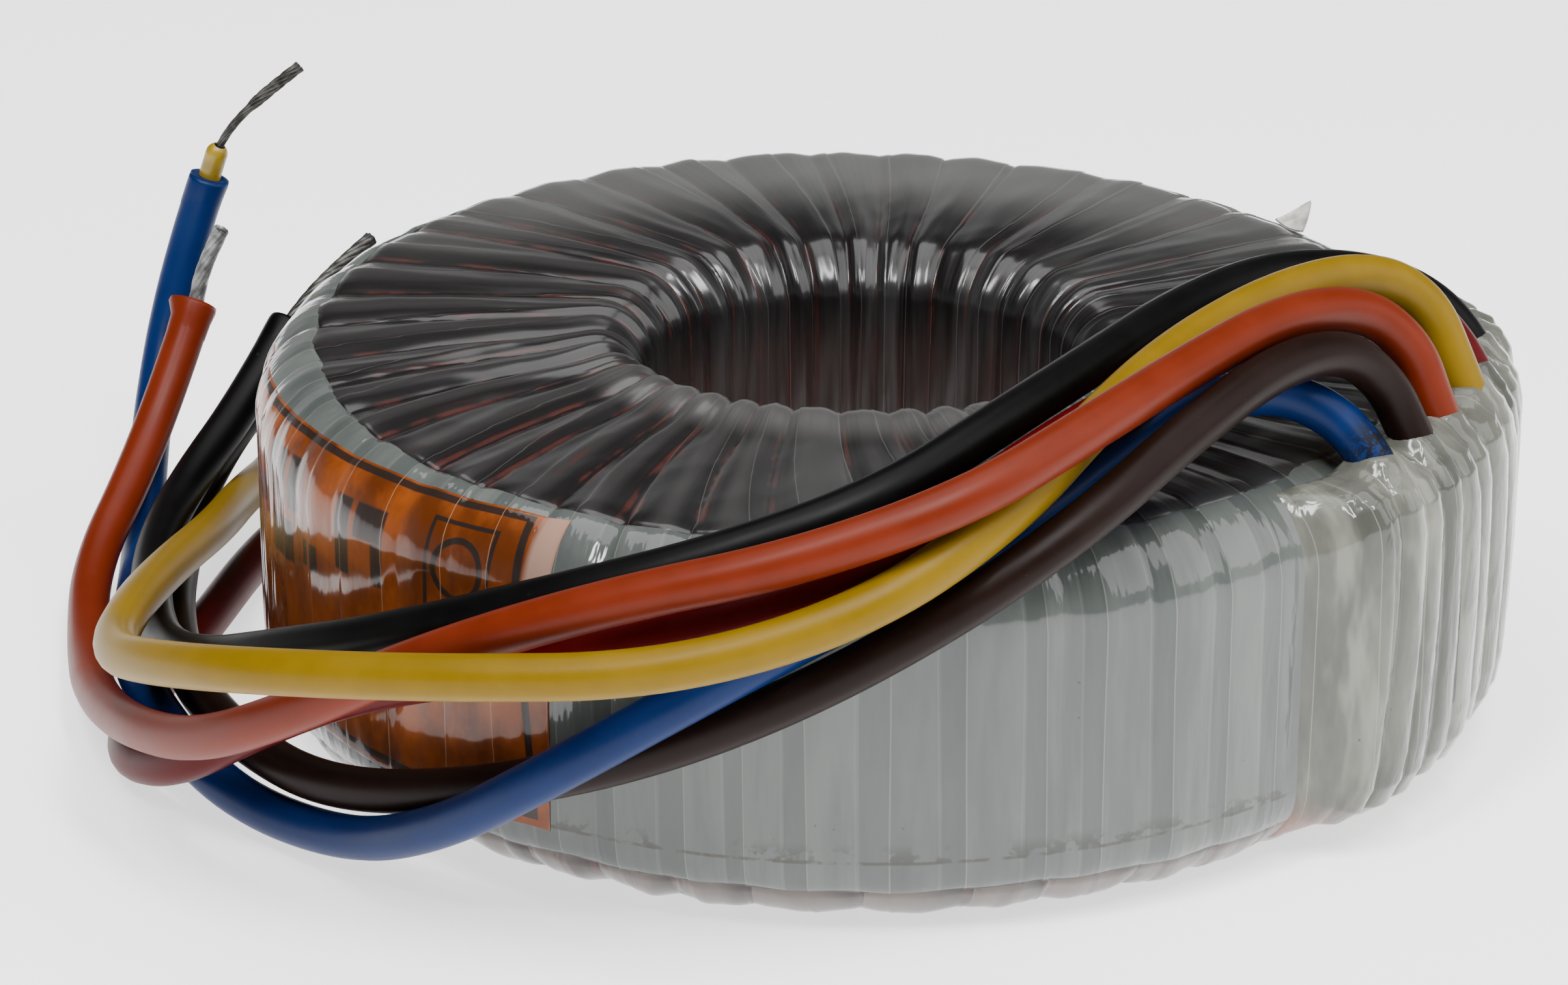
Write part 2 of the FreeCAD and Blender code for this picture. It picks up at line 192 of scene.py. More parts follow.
# ---------------------------------------------------------------- node materials
class Shader:
    """A Principled material and short names for the nodes that feed it."""

    def __init__(self, name, **values):
        self.material = bpy.data.materials.new(name)
        self.material.use_nodes = True
        self.tree = self.material.node_tree
        self.main = self.tree.nodes["Principled BSDF"]
        for key, value in values.items():
            self.main.inputs[key.replace("_", " ")].default_value = value

    def node(self, kind, **settings):
        made = self.tree.nodes.new(kind)
        for key, value in settings.items():
            setattr(made, key, value)
        return made

    def put(self, socket, value):
        if isinstance(value, bpy.types.NodeSocket):
            self.tree.links.new(value, socket)
        else:
            socket.default_value = value

    def calc(self, operation, a, b=0.0, c=0.0):
        made = self.node("ShaderNodeMath", operation=operation)
        for socket, value in zip(made.inputs, (a, b, c)):
            self.put(socket, value)
        return made.outputs[0]

    def ramp(self, value, low, high):
        """0 below low, 1 above high, smooth between; low may be the larger one."""
        made = self.node("ShaderNodeMapRange", interpolation_type="SMOOTHSTEP")
        self.put(made.inputs["Value"], value)
        start, end = (0.0, 1.0) if low < high else (1.0, 0.0)
        made.inputs["From Min"].default_value = min(low, high)
        made.inputs["From Max"].default_value = max(low, high)
        made.inputs["To Min"].default_value = start
        made.inputs["To Max"].default_value = end
        return made.outputs[0]

    def times(self, first, *others):
        for other in others:
            first = self.calc("MULTIPLY", first, other)
        return first

    def to_edge(self, share):
        """How far a 0..1 share is from the nearer of its two ends."""
        return self.calc("MINIMUM", share, self.calc("SUBTRACT", 1.0, share))

    def distance(self, vector, spot):
        made = self.node("ShaderNodeVectorMath", operation="DISTANCE")
        self.put(made.inputs[0], vector)
        made.inputs[1].default_value = spot
        return made.outputs["Value"]

    def blend(self, amount, a, b):
        made = self.node("ShaderNodeMix", data_type="RGBA")
        self.put(made.inputs["Factor"], amount)
        self.put(made.inputs[6], a)
        self.put(made.inputs[7], b)
        return made.outputs[2]

    def lay(self, body, mask, rgb, strength=1.0):
        """The body colour with rgb laid over it where the mask is high."""
        return self.blend(self.times(mask, strength), body, colour4(*rgb))

    def two_tone(self, cloud, low, high, dark, light):
        """Dark below low and light above high of a noise."""
        return self.blend(self.ramp(cloud, low, high), colour4(*dark), colour4(*light))

    def place(self, scale=(1, 1, 1)):
        """Object coordinates in millimetres, stretched by scale."""
        coordinates = self.node("ShaderNodeTexCoord").outputs["Object"]
        mapping = self.node("ShaderNodeMapping", vector_type="POINT")
        mapping.inputs["Scale"].default_value = [s / MM for s in scale]
        self.put(mapping.inputs["Vector"], coordinates)
        return mapping.outputs[0]

    def uv(self, layer):
        made = self.node("ShaderNodeUVMap", uv_map=layer)
        split = self.node("ShaderNodeSeparateXYZ")
        self.put(split.inputs[0], made.outputs[0])
        return split.outputs[0], split.outputs[1]

    def join(self, x, y, z=0.0):
        made = self.node("ShaderNodeCombineXYZ")
        for socket, value in zip(made.inputs, (x, y, z)):
            self.put(socket, value)
        return made.outputs[0]

    def noise(self, vector, scale, detail=3.0, rough=0.5, distort=0.0):
        made = self.node("ShaderNodeTexNoise")
        self.put(made.inputs["Vector"], vector)
        made.inputs["Scale"].default_value = scale
        made.inputs["Detail"].default_value = detail
        made.inputs["Roughness"].default_value = rough
        made.inputs["Distortion"].default_value = distort
        return made.outputs[0]

    def turn_noise(self, phase, run, across, along, scale, detail=3, rough=0.6, layer=0.0):
        """Noise drawn out along the turns; across and along stretch it both ways."""
        vector = self.join(self.times(phase, across), self.times(run, along), layer)
        return self.noise(vector, scale, detail, rough)

    def each_turn(self, phase):
        """A random 0..1 value for each whole turn."""
        made = self.node("ShaderNodeTexWhiteNoise", noise_dimensions="1D")
        self.put(made.inputs["W"], self.calc("FLOOR", phase))
        return made.outputs["Value"]

    def bump(self, height, distance_mm, strength=1.0, normal=None):
        made = self.node("ShaderNodeBump")
        made.inputs["Distance"].default_value = distance_mm * MM
        made.inputs["Strength"].default_value = strength
        self.put(made.inputs["Height"], height)
        if normal is not None:
            self.put(made.inputs["Normal"], normal)
        return made.outputs[0]

    def set(self, **links):
        for key, value in links.items():
            self.put(self.main.inputs[key.replace("_", " ")], value)
        return self.material


def colour4(r, g, b):
    return (r, g, b, 1.0)


LEAD_COLOURS = {
    "yellow": (0.175, 0.102, 0.0),
    "orange": (0.125, 0.0120, 0.0012),
    "red": (0.065, 0.0006, 0.001),
    "black": (0.0010, 0.0010, 0.0010),
    "brown": (0.0085, 0.0032, 0.0019),
    "blue": (0.0, 0.0125, 0.074),
}
DARK_LEADS = ("black", "brown", "red")
DIRT = (0.03, 0.025, 0.02)
SMEAR = (0.0015, 0.002, 0.002)
SMEAR_SPOT = (32.0, -23.2, 25.8)


def lead_material(colour):
    """Satin PVC with small scuffs and specks of dirt; the blue one is stained where it comes out."""
    base = LEAD_COLOURS[colour]
    s = Shader(f"pvc_{colour}", Specular_IOR_Level=0.10 if colour in DARK_LEADS else 0.16)
    where = s.place()
    bloom = s.noise(where, 0.25, 3, 0.6)
    fine = s.noise(where, 6.0, 2, 0.6)
    dust = s.ramp(s.noise(where, 1.9, 2, 0.5), 0.73, 0.79)
    light = [c * 1.06 + 0.001 for c in base]
    dark = [c * 0.92 for c in base]
    body = s.two_tone(bloom, 0.3, 0.7, dark, light)
    body = s.lay(body, dust, DIRT, 0.30)
    if colour == "blue":
        near = s.ramp(s.distance(where, SMEAR_SPOT), 3.4, 1.4)
        smear = s.times(near, s.ramp(s.noise(where, 1.4, 5, 0.75, 1.5), 0.45, 0.50))
        body = s.lay(body, smear, SMEAR, 0.95)
    rough = s.calc("MULTIPLY_ADD", bloom, 0.14, 0.34)
    height = s.calc("MULTIPLY_ADD", fine, 0.25, s.noise(where, 0.8, 2))
    return s.set(Base_Color=body, Roughness=rough, Normal=s.bump(height, 0.02, 0.4))


def mottled(name, dark, light, scale, roughness, metallic=0.0, grain=(0.1, 0.5), detail=4):
    """Two mottled tones with a fine bump; grain is its depth in mm and its strength."""
    s = Shader(name, Roughness=roughness, Metallic=metallic)
    cloud = s.noise(s.place(), scale, detail, 0.6)
    body = s.two_tone(cloud, 0.3, 0.7, dark, light)
    return s.set(Base_Color=body, Normal=s.bump(cloud, *grain))


# ---------------------------------------------------------------- the ring's wavy surface
TURNS = 42
FILM_TURNS = 52
WIRES = 336
TURN_STEPS = 1260
SECTION_STEPS = 168


def section_outline():
    """Places of the rounded section's corners along its length, in mm, from mid-hole going up."""
    wall_in = HEIGHT - 2 * INNER_CORNER
    wall_out = HEIGHT - 2 * OUTER_CORNER
    flat = OUTER_R - HOLE_R - INNER_CORNER - OUTER_CORNER
    quarter = math.pi / 2
    spans = [wall_in / 2, quarter * INNER_CORNER, flat, quarter * OUTER_CORNER, wall_out]
    spans += [quarter * OUTER_CORNER, flat, quarter * INNER_CORNER, wall_in / 2]
    return np.concatenate([[0], np.cumsum(spans)])


STATIONS = section_outline()
SECTION_LENGTH = STATIONS[-1]


def section(s):
    """Radius, height and outward normal at distance s along the section."""
    s = np.asarray(s, float)
    r = np.zeros_like(s)
    z = np.zeros_like(s)
    angle = np.zeros_like(s)
    span = np.clip(np.searchsorted(STATIONS, s, side="right") - 1, 0, 8)
    along = s - STATIONS[span]
    high_in = HEIGHT - INNER_CORNER
    high_out = HEIGHT - OUTER_CORNER
    mid = HEIGHT / 2
    quarter = math.pi / 2
    flat_in = HOLE_R + INNER_CORNER
    flat_out = OUTER_R - OUTER_CORNER
    walls = [
        (0, lambda a: (HOLE_R + 0 * a, mid + a, 0 * a + math.pi)),
        (2, lambda a: (flat_in + a, HEIGHT + 0 * a, 0 * a + quarter)),
        (4, lambda a: (OUTER_R + 0 * a, high_out - a, 0 * a)),
        (6, lambda a: (flat_out - a, 0 * a, 0 * a - quarter)),
        (8, lambda a: (HOLE_R + 0 * a, INNER_CORNER + a, 0 * a - math.pi)),
    ]
    corners = [
        (1, flat_in, high_in, INNER_CORNER, math.pi),
        (3, flat_out, high_out, OUTER_CORNER, quarter),
        (5, flat_out, OUTER_CORNER, OUTER_CORNER, 0.0),
        (7, flat_in, INNER_CORNER, INNER_CORNER, -quarter),
    ]
    for index, wall in walls:
        on = span == index
        r[on], z[on], angle[on] = wall(along[on])
    for index, centre_r, centre_z, corner, start in corners:
        on = span == index
        angle[on] = start - along[on] / corner
        r[on] = centre_r + corner * np.cos(angle[on])
        z[on] = centre_z + corner * np.sin(angle[on])
    return r, z, np.cos(angle), np.sin(angle)


TWIST_DEG = [0.0, 0.0, 1.2, 7.2, 8.0, 7.4, 6.8, 1.0, 0.0, 0.0]
FILM_TWIST_DEG = [0.0, 0.0, 4.0, 12.5, 13.5, 14.0, 14.5, 4.0, 0.0, 0.0]
TURN_DEPTH = [0.30, 0.62, 0.66, 0.60, 0.42, 0.14, 0.60, 0.40, 0.40, 0.30]
FLAT_SHARE = [0.8, 0.9, 0.7, 0.50, 0.95, 1.0, 1.0, 1.0, 1.0, 0.8]


def slanted(theta, s, twists, size):
    """Angle carried along a turn: it swirls between the hole and the rim and is unevenly spaced."""
    twist = np.radians(np.interp(s, STATIONS, twists))
    lean = 0.55 + 0.6 * np.cos(theta - math.radians(205))
    carried = theta - twist * lean
    wobble = 1.2 * np.sin(3 * carried + 1) + 0.9 * np.sin(7 * carried + 2) + 0.5 * np.sin(13 * carried)
    wobble = wobble + 0.42 * np.sin(23 * carried + 0.5) + 0.22 * np.sin(31 * carried + 0.6 * np.sin(s / 5))
    return carried + np.radians(wobble) * size


def rib_phase(theta, s):
    return slanted(theta, s, TWIST_DEG, 1.0) * TURNS / math.tau


def film_phase(theta, s):
    return slanted(theta, s, FILM_TWIST_DEG, 0.8) * FILM_TURNS / math.tau


def scatter(count, seed):
    return np.random.default_rng(seed).random(count)


def near_angle(theta, middle_deg, width_deg):
    """1 at an angle, falling smoothly to 0 at width_deg away."""
    away = np.abs((theta - math.radians(middle_deg) + math.pi) % math.tau - math.pi)
    t = np.clip(1 - away / math.radians(width_deg), 0, 1)
    return t * t * (3 - 2 * t)


def rib_depth(theta, s):
    """How far the wrapped surface lies below its outermost level, in mm."""
    turn = rib_phase(theta, s)
    across = turn - np.floor(turn)
    which = np.floor(turn).astype(int) % TURNS
    strength = 0.6 + 0.6 * scatter(TURNS, 11)[which]
    hollow = 1 - np.sin(np.pi * across) ** 0.95
    lively = np.maximum(near_angle(theta, 200, 95), np.interp(s, STATIONS, FLAT_SHARE))
    deep = np.interp(s, STATIONS, TURN_DEPTH) * strength * hollow * lively
    second = 0.5 - 0.5 * np.cos(math.tau * (2.0 * turn + 0.35 * np.sin(s / 4 + which * 1.7)))
    film = film_phase(theta, s)
    step = (film - np.floor(film)) * 0.07
    ripple = 0.05 * np.sin(s / 2.1 + 9 * theta) * np.sin(turn * 1.9 + s / 3.3)
    slow = 0.08 * (1 + np.sin(2 * theta + 0.7)) * np.interp(s, STATIONS, [1, 1, 1, 1, .4, .2, .4, 1, 1, 1])
    return deep + 0.10 * lively * second * (1 - hollow) + step + np.abs(ripple) + slow


def lip(theta, s):
    """Build-up of the winding at the hole's front edge, and its slack at the back, in mm."""
    front = 0.75 * near_angle(theta, 258, 120) * np.exp(-((s - STATIONS[2] + 1.0) / 2.4) ** 2)
    back = 0.45 * near_angle(theta, 90, 90) * np.exp(-((s - STATIONS[2] + 2.8) / 2.2) ** 2)
    return front - back


def ring_points(theta, s, rise):
    """Points on the ring at angle theta and distance s, moved outwards by rise (all mm)."""
    r, z, nr, nz = section(s)
    rise = rise + lip(theta, s)
    radius = r + nr * rise
    return np.stack([radius * np.cos(theta), radius * np.sin(theta), z + nz * rise], -1)


def grid_faces(rows, columns, wrap_rows=False, wrap_columns=False):
    """Quads of a grid of points, closed round either way where asked."""
    i = np.arange(rows if wrap_rows else rows - 1)[:, None]
    j = np.arange(columns if wrap_columns else columns - 1)[None]
    i2 = (i + 1) % rows
    j2 = (j + 1) % columns
    corners = [i * columns + j, i2 * columns + j, i2 * columns + j2, i * columns + j2]
    return np.stack(corners, -1).reshape(-1, 4)


def mesh_piece(name, points, faces, maps=None):
    """Smooth mesh object from points in mm; maps holds per-corner UV arrays by layer name."""
    mesh = bpy.data.meshes.new(name)
    faces = faces.tolist() if isinstance(faces, np.ndarray) else faces
    mesh.from_pydata((np.asarray(points).reshape(-1, 3) * MM).tolist(), [], faces)
    for layer, values in (maps or {}).items():
        made = mesh.uv_layers.new(name=layer)
        made.data.foreach_set("uv", np.asarray(values, np.float32).ravel())
    mesh.shade_smooth()
    return link_object(name, mesh)


def finish_piece(piece, material, slot, *nodes):
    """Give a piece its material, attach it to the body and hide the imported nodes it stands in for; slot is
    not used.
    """
    piece.data.materials.clear()
    piece.data.materials.append(material)
    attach(piece, BODY)
    if nodes:
        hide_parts(*nodes)
    return piece


def rib_maps(faces, theta, s):
    """UV layers for ribs, film turns and wires: phase across, distance along the section."""
    flat_theta = theta.ravel()
    flat_s = s.ravel()
    crossing = flat_theta[faces].max(1) - flat_theta[faces].min(1) > math.pi
    lift = crossing[:, None] & (flat_theta[faces] < math.pi)
    run = flat_s[faces]
    jump = run.max(1) - run.min(1) > SECTION_LENGTH / 2
    run = np.where(jump[:, None] & (run < SECTION_LENGTH / 2), run + SECTION_LENGTH, run)
    ribs = rib_phase(flat_theta, flat_s)[faces] + TURNS * lift
    films = film_phase(flat_theta, flat_s)[faces] + FILM_TURNS * lift
    return {"ribs": np.stack([ribs, run], -1), "films": np.stack([films, run], -1)}


BAND_TOP_R = 36.5
BAND_LOW_Z = 3.2
BAND_BEDDING = 0.55


def station_at_radius_top(radius):
    """Distance along the section of a radius on the top face or its outer corner."""
    flat_out = OUTER_R - OUTER_CORNER
    if radius <= flat_out:
        return STATIONS[2] + radius - HOLE_R - INNER_CORNER
    return STATIONS[3] + OUTER_CORNER * (math.pi / 2 - math.acos((radius - flat_out) / OUTER_CORNER))


def station_at_height_low(height):
    """Distance along the section of a height on the outer wall or its lower corner."""
    if height >= OUTER_CORNER:
        return STATIONS[4] + HEIGHT - OUTER_CORNER - height
    return STATIONS[5] + OUTER_CORNER * math.asin((OUTER_CORNER - height) / OUTER_CORNER)


BAND_START = station_at_radius_top(BAND_TOP_R - 0.4)
BAND_END = station_at_height_low(BAND_LOW_Z)


def wrap_piece():
    theta = np.linspace(0, math.tau, TURN_STEPS, endpoint=False)[:, None]
    s = np.linspace(0, SECTION_LENGTH, SECTION_STEPS, endpoint=False)[None]
    theta, s = np.broadcast_arrays(theta, s)
    under_band = np.clip((s - BAND_START - 0.2) / 0.6, 0, 1) * np.clip((BAND_END - 0.2 - s) / 0.6, 0, 1)
    rise = -0.02 - rib_depth(theta, s) - BAND_BEDDING * under_band
    points = ring_points(theta, s, rise)
    faces = grid_faces(TURN_STEPS, SECTION_STEPS, True, True)
    return mesh_piece("film_wrap", points, faces, rib_maps(faces, theta, s))


def edge_wander(theta, seed, size):
    """Slow uneven offset round the ring, in mm."""
    phases = scatter(6, seed) * math.tau
    counts = (3, 5, 9, 17, 29, 42)
    sizes = (0.5, 0.35, 0.3, 0.25, 0.2, 0.3)
    return size * sum(a * np.sin(n * theta + p) for n, a, p in zip(counts, sizes, phases))


def strip(name, theta, start, end, steps, level, thick, closed):
    """Strip of tape that follows the ribs: start and end are distances along the section."""
    share = np.linspace(0, 1, steps)[None]
    s = start[:, None] * (1 - share) + end[:, None] * share
    theta, s = np.broadcast_arrays(theta[:, None], s)
    near_edge = np.minimum(share, 1 - share) * (end - start)[:, None]
    tuck = 0.12 * np.exp(-near_edge / 0.35)
    over = -level - 0.55 * rib_depth(theta, s) - tuck
    under = over - thick
    s2 = np.concatenate([s, s[:, ::-1]], 1)
    theta2 = np.concatenate([theta, theta], 1)
    rise = np.concatenate([over, under[:, ::-1]], 1)
    points = ring_points(theta2, s2, rise)
    rows, columns = theta2.shape
    faces = grid_faces(rows, columns, closed, True)
    if not closed:
        ends = [list(range(columns))[::-1], [(rows - 1) * columns + k for k in range(columns)]]
        return strip_with_ends(name, points, faces, ends, theta2, s2)
    return mesh_piece(name, points, faces, rib_maps(faces, theta2, s2))


def strip_with_ends(name, points, faces, ends, theta, s):
    """Open strip whose two short ends are closed by rows of quads, with a map in label millimetres too."""
    quads = []
    for ring in ends:
        count = len(ring)
        for k in range(count // 2 - 1):
            quads.append([ring[k], ring[k + 1], ring[count - 2 - k], ring[count - 1 - k]])
    faces = np.concatenate([faces, np.array(quads)])
    maps = rib_maps(faces, theta, s)
    flat_theta = theta.ravel()[faces]
    top = BAND_START + np.interp(np.degrees(flat_theta), *LABEL_SAG)
    maps["label"] = np.stack([(LABEL_TO - flat_theta) * OUTER_R, s.ravel()[faces] - top], -1)
    return mesh_piece(name, points, faces, maps)


def band_piece():
    theta = np.linspace(0, math.tau, TURN_STEPS, endpoint=False)
    start = BAND_START + edge_wander(theta, 3, 0.30) + 3.0 * near_angle(theta, 100, 80)
    end = BAND_END + edge_wander(theta, 5, 0.30)
    return strip("white_rim_band", theta, start, end, 70, 0.04, 0.3, True)


LABEL_FROM = math.radians(165)
LABEL_TO = math.radians(242.3)
LABEL_LOW_Z = 4.9
LABEL_SAG = ([165, 190, 205, 222, 242.3], [4.0, 3.2, 2.2, 1.4, 0.7])


def label_piece():
    theta = np.linspace(LABEL_FROM, LABEL_TO, 300)
    start = BAND_START + np.interp(np.degrees(theta), *LABEL_SAG)
    end = station_at_height_low(LABEL_LOW_Z) + 0 * theta
    return strip("rating_label_paper", theta, start, end, 60, -0.02, 0.12, False)


def film_lines(s, phase):
    """0..1 mask of the thin pale edges of the film's turns, and the phase inside a turn."""
    inside = s.calc("FRACT", phase)
    return s.ramp(s.to_edge(inside), 0.014, 0.004), inside


# the enamel's second tone, for the hole, is lighter and pinker: painted light from below
ENAMEL, ENAMEL_PAINTED_LIGHT_IN_HOLE = (0.0035, 0.0026, 0.0029), (0.019, 0.0105, 0.0090)
# the scallops' darker tone is painted shade in the gaps between ribs
SCALLOP, SCALLOP_GAP_PAINTED_SHADE = (0.085, 0.064, 0.056), (0.012, 0.006, 0.005)
BARE_COPPER = (0.060, 0.012, 0.008)
# painted sheen and painted highlights of the film over the winding, laid in as greys
CREST_PAINTED_SHEEN = (0.026, 0.024, 0.0235)
PANEL_PAINTED_SHEEN = (0.060, 0.060, 0.059)
FRONT_RIGHT_PAINTED_SHEEN = (0.040, 0.040, 0.039)
LIP_PAINTED_HIGHLIGHT = (0.085, 0.083, 0.080)
REAR_PAINTED_SHEEN = (0.098, 0.098, 0.095)
WINDING_FILM_EDGE = (0.20, 0.19, 0.18)


def winding_material():
    """Clear film over dark enamelled copper, which shows in the gaps between bundles.

    The greys on the crests, the film's panels, the front right, the hole's lip and the rear are painted
    sheen of the film, at the lip a painted highlight. They are laid in by place on the ring, so they don't
    move with the view.
    """
    s = Shader(
        "film_over_winding", Coat_Weight=1.0, Coat_Roughness=0.20, Coat_IOR=1.46, Specular_IOR_Level=0.15)
    phase, run = s.uv("ribs")
    film, _ = s.uv("films")
    line, inside = film_lines(s, film)
    rib = s.calc("FRACT", phase)
    rib_edge = s.to_edge(rib)
    ridge = s.calc("ABSOLUTE", s.calc("SINE", s.times(phase, math.pi * WIRES / TURNS)))
    spot = s.node("ShaderNodeSeparateXYZ")
    s.put(spot.inputs[0], s.place((1 / OUTER_R, 1 / OUTER_R, 1)))
    x, y, _ = spot.outputs
    # lively is 1 on the left side, where the ribs stand out most
    to_left = s.calc("MULTIPLY_ADD", x, -0.94, s.times(y, -0.34))
    lively = s.ramp(to_left, -0.15, 0.45)
    on_top = s.times(s.ramp(run, STATIONS[1], STATIONS[2]), s.ramp(run, STATIONS[4], STATIONS[3]))

    # painted light: lighter, pinker enamel down in the hole
    above_mid = s.ramp(run, STATIONS[1] + 0.5, STATIONS[1] - 5.0)
    painted_light_in_hole = s.calc("MAXIMUM", above_mid, s.ramp(run, STATIONS[8] - 1, STATIONS[8] + 1))
    body = s.blend(painted_light_in_hole, colour4(*ENAMEL), colour4(*ENAMEL_PAINTED_LIGHT_IN_HOLE))
    # scallops below the band: pale film over copper, with painted shade in the gaps between ribs
    under = s.times(s.ramp(run, BAND_END - 1.5, BAND_END), s.ramp(run, STATIONS[6] + 4, STATIONS[6]))
    body = s.blend(under, body, s.two_tone(rib, 0.50, 0.97, SCALLOP, SCALLOP_GAP_PAINTED_SHADE))
    # painted sheen along the rib crests on the top face, strongest on the left
    body = s.lay(body, s.times(s.ramp(rib_edge, 0.20, 0.48), on_top, lively), CREST_PAINTED_SHEEN, 0.85)

    streaks = s.ramp(s.turn_noise(phase, run, 1.7, 0.05, 2.0), 0.60, 0.76)
    broken = s.ramp(s.turn_noise(phase, run, 0.9, 0.09, 2.3), 0.44, 0.62)
    shown = s.calc("MAXIMUM", s.times(s.ramp(rib_edge, 0.20, 0.02), broken), streaks)
    copper = s.times(shown, s.ramp(ridge, 0.3, 0.9), s.calc("MULTIPLY_ADD", lively, 0.55, 0.40))
    body = s.lay(body, copper, BARE_COPPER)

    # painted sheen: grey panels of the film, fainter on the left
    painted_sheen_panels = s.ramp(s.turn_noise(film, run, 0.7, 0.03, 1.4, rough=0.55), 0.42, 0.70)
    body = s.lay(body, s.times(painted_sheen_panels, s.calc("MULTIPLY_ADD", lively, -0.30, 0.36)), PANEL_PAINTED_SHEEN)
    # painted sheen on the front right of the top face, lighter on some film turns than others
    right = s.times(s.ramp(x, -0.40, 0.05), s.ramp(y, -0.20, -0.42), on_top)
    body = s.lay(body, s.times(right, s.calc("MULTIPLY_ADD", s.each_turn(film), 0.85, 0.05)), FRONT_RIGHT_PAINTED_SHEEN)
    # painted highlight along the hole's front lip
    lip_in = s.ramp(run, STATIONS[1] + 0.5, STATIONS[2] + 0.5)
    lip_out = s.ramp(run, STATIONS[2] + 3.5, STATIONS[2] + 0.2)
    body = s.lay(body, s.times(lip_in, lip_out, s.ramp(y, -0.10, -0.34)), LIP_PAINTED_HIGHLIGHT, 0.55)
    # painted sheen on the rear of the top face, out towards the rim
    outer_top = s.ramp(run, STATIONS[2] + 2.5, STATIONS[3] - 3)
    rear = s.times(s.ramp(y, 0.15, 0.80), outer_top, s.ramp(run, STATIONS[4], STATIONS[4] - 2))
    body = s.lay(body, rear, REAR_PAINTED_SHEEN, 0.85)
    body = s.lay(body, s.times(line, s.calc("MULTIPLY_ADD", under, -0.24, 0.24)), WINDING_FILM_EDGE)

    wrinkle = s.turn_noise(film, run, 0.8, 0.08, 1.6, 2, 0.45)
    skin = s.bump(s.calc("MULTIPLY_ADD", inside, 0.35, wrinkle), 0.12, 0.6)
    wires = s.bump(ridge, 0.02, 0.6, skin)
    return s.set(Base_Color=body, Roughness=0.5, Normal=wires, Coat_Normal=skin)


BAND_DARK, BAND_LIGHT = (0.055, 0.063, 0.060), (0.090, 0.099, 0.093)
BAND_PALE_TURN = (0.142, 0.153, 0.144)
BAND_PAINTED_REFLECTION_STREAK = (0.040, 0.047, 0.044)
BAND_OVERLAP = (0.040, 0.048, 0.044)
BAND_FILM_EDGE, BAND_SECOND_EDGE = (0.23, 0.24, 0.21), (0.20, 0.21, 0.185)
SEAM_BROWN = (0.034, 0.028, 0.018)
SEAM_STAIN = (0.030, 0.032, 0.026)
SEAM_ABOVE_EDGE = 2.4
BAND_SPECK = (0.03, 0.02, 0.015)


def band_material():
    """White tape under clear film: grey-green, with film edges, a brown seam, stains and specks."""
    s = Shader(
        "film_over_white_band", Coat_Weight=1.0, Coat_Roughness=0.08, Coat_IOR=1.46, Roughness=0.5,
        Specular_IOR_Level=0.08)
    film, run = s.uv("films")
    line, inside = film_lines(s, film)
    second, _ = film_lines(s, s.calc("ADD", film, 0.37))
    cloud = s.noise(s.place((0.3, 0.3, 0.1)), 0.5, 4, 0.6)
    body = s.two_tone(cloud, 0.3, 0.7, BAND_DARK, BAND_LIGHT)
    body = s.lay(body, s.each_turn(film), BAND_PALE_TURN, 0.55)
    # painted reflection: darker vertical streaks down the film on the band
    body = s.lay(body, s.ramp(s.turn_noise(film, run, 1.3, 0.03, 1.2), 0.45, 0.66), BAND_PAINTED_REFLECTION_STREAK, 0.38)
    body = s.lay(body, s.ramp(inside, 0.66, 0.68), BAND_OVERLAP, 0.48)
    body = s.lay(body, line, BAND_FILM_EDGE, 0.40)
    body = s.lay(body, second, BAND_SECOND_EDGE, 0.16)
    seam_at = s.calc("SUBTRACT", run, BAND_END - SEAM_ABOVE_EDGE)
    seam = s.times(
        s.ramp(s.calc("ABSOLUTE", seam_at), 0.16, 0.05), s.ramp(s.noise(s.place(), 0.8, 3, 0.6), 0.36, 0.55))
    body = s.lay(body, seam, SEAM_BROWN, 0.8)
    blotch = s.ramp(s.turn_noise(film, run, 2.1, 0.55, 1.0), 0.51, 0.58)
    stain = s.times(blotch, s.ramp(seam_at, -1.5, -0.1), s.ramp(seam_at, 0.15, 0.0))
    body = s.lay(body, stain, SEAM_STAIN, 0.75)
    body = s.lay(body, s.ramp(s.noise(s.place(), 1.8, 2, 0.5), 0.755, 0.79), BAND_SPECK, 0.7)
    wrinkle = s.turn_noise(film, run, 1.4, 0.07, 1.6, rough=0.5)
    skin = s.bump(s.calc("MULTIPLY_ADD", inside, 0.35, wrinkle), 0.34, 0.6)
    return s.set(Base_Color=body, Normal=skin, Coat_Normal=skin)


def patch(s, u, v, u0, u1, v0, v1, soft=0.12):
    """Mask of a plain rectangle in label millimetres."""
    across = s.times(s.ramp(u, u0 - soft, u0 + soft), s.ramp(u, u1 + soft, u1 - soft))
    return s.times(across, s.ramp(v, v0 - soft, v0 + soft), s.ramp(v, v1 + soft, v1 - soft))


